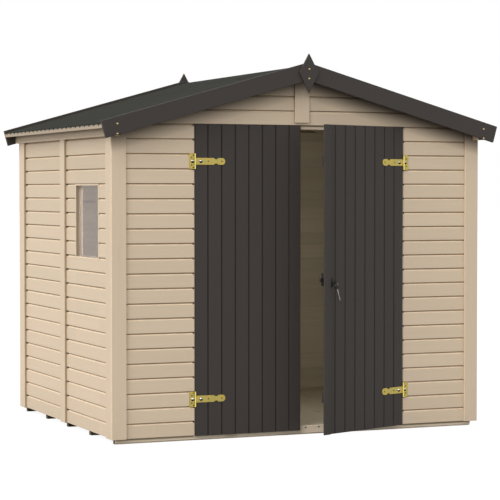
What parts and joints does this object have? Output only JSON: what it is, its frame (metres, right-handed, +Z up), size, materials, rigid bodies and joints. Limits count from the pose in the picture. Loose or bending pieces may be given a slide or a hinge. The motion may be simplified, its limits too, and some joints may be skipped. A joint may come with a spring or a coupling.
{
  "type": "wooden garden shed",
  "caption": "Apex-roofed shiplap garden shed on bearers, with cream walls, charcoal double doors on strap hinges, a fixed side window and a felted roof.",
  "frame": {"origin": "on the ground at the centre of the middle bearer's underside, midway between the corner boards", "axes": "+X to the right along the front, +Y into the depth with the doors facing -Y, +Z up"},
  "size_m": [2.576, 2.2391, 2.2733],
  "materials": {
    "cream_paint": "satin cream paint over planed shiplap boards",
    "framing_timber": "bare planed softwood framing",
    "eaves_timber": "cream washed softwood at the eaves",
    "board_timber": "bare boards, slightly weathered",
    "charcoal_paint": "matt charcoal paint over boards",
    "roof_felt": "grey green mineral felt",
    "glazing": "clear pane",
    "gilt_steel": "yellow passivated steel",
    "black_lock": "black japanned metal",
    "key_steel": "bright nickel"
  },
  "bodies": {
    "shed": {"floor_bearers": "board_timber", "floor_deck": "board_timber", "door_threshold": "board_timber", "front_wall_left": "cream_paint", "front_wall_right": "cream_paint", "front_gable": "cream_paint", "rear_wall_left": "cream_paint", "rear_wall_right": "cream_paint", "rear_gable": "cream_paint", "left_wall_front": "cream_paint", "left_wall_rear": "cream_paint", "right_wall_front": "cream_paint", "right_wall_rear": "cream_paint", "side_wall_rails": "framing_timber", "end_wall_rails": "framing_timber", "wall_studs": "framing_timber", "gable_frames": "framing_timber", "end_corner_boards": "cream_paint", "side_corner_boards": "cream_paint", "side_cover_strips": "cream_paint", "end_cover_strips": "cream_paint", "window_lining": "cream_paint", "window_pane": "glazing", "eaves_rails": "eaves_timber", "roof_beams": "framing_timber", "left_roof_deck": "board_timber", "right_roof_deck": "board_timber", "eaves_battens": "eaves_timber", "left_roof_felt": "roof_felt", "right_roof_felt": "roof_felt", "left_bargeboards": "charcoal_paint", "right_bargeboards": "charcoal_paint", "finials": "charcoal_paint", "left_hinge_plates": "gilt_steel", "right_hinge_plates": "gilt_steel"},
    "left_door": {"left_door_leaf": "charcoal_paint", "left_door_ledges": "charcoal_paint", "left_hinge_straps": "gilt_steel"},
    "right_door": {"right_door_leaf": "charcoal_paint", "right_door_ledges": "charcoal_paint", "right_hinge_straps": "gilt_steel", "door_cover_strip": "charcoal_paint", "rim_lock": "black_lock", "lock_escutcheon": "black_lock", "door_keys": "key_steel"}
  },
  "joints": [
    {"name": "left_door_hinge", "type": "hinge", "parent": "shed", "child": "left_door", "pos_m": [-0.684, -0.939, 0.939], "axis": [0, 0, -1], "range_deg": [0, 150]},
    {"name": "right_door_hinge", "type": "hinge", "parent": "shed", "child": "right_door", "pos_m": [0.684, -0.939, 0.939], "axis": [0, 0, 1], "range_deg": [-21, 129]}
  ]
}
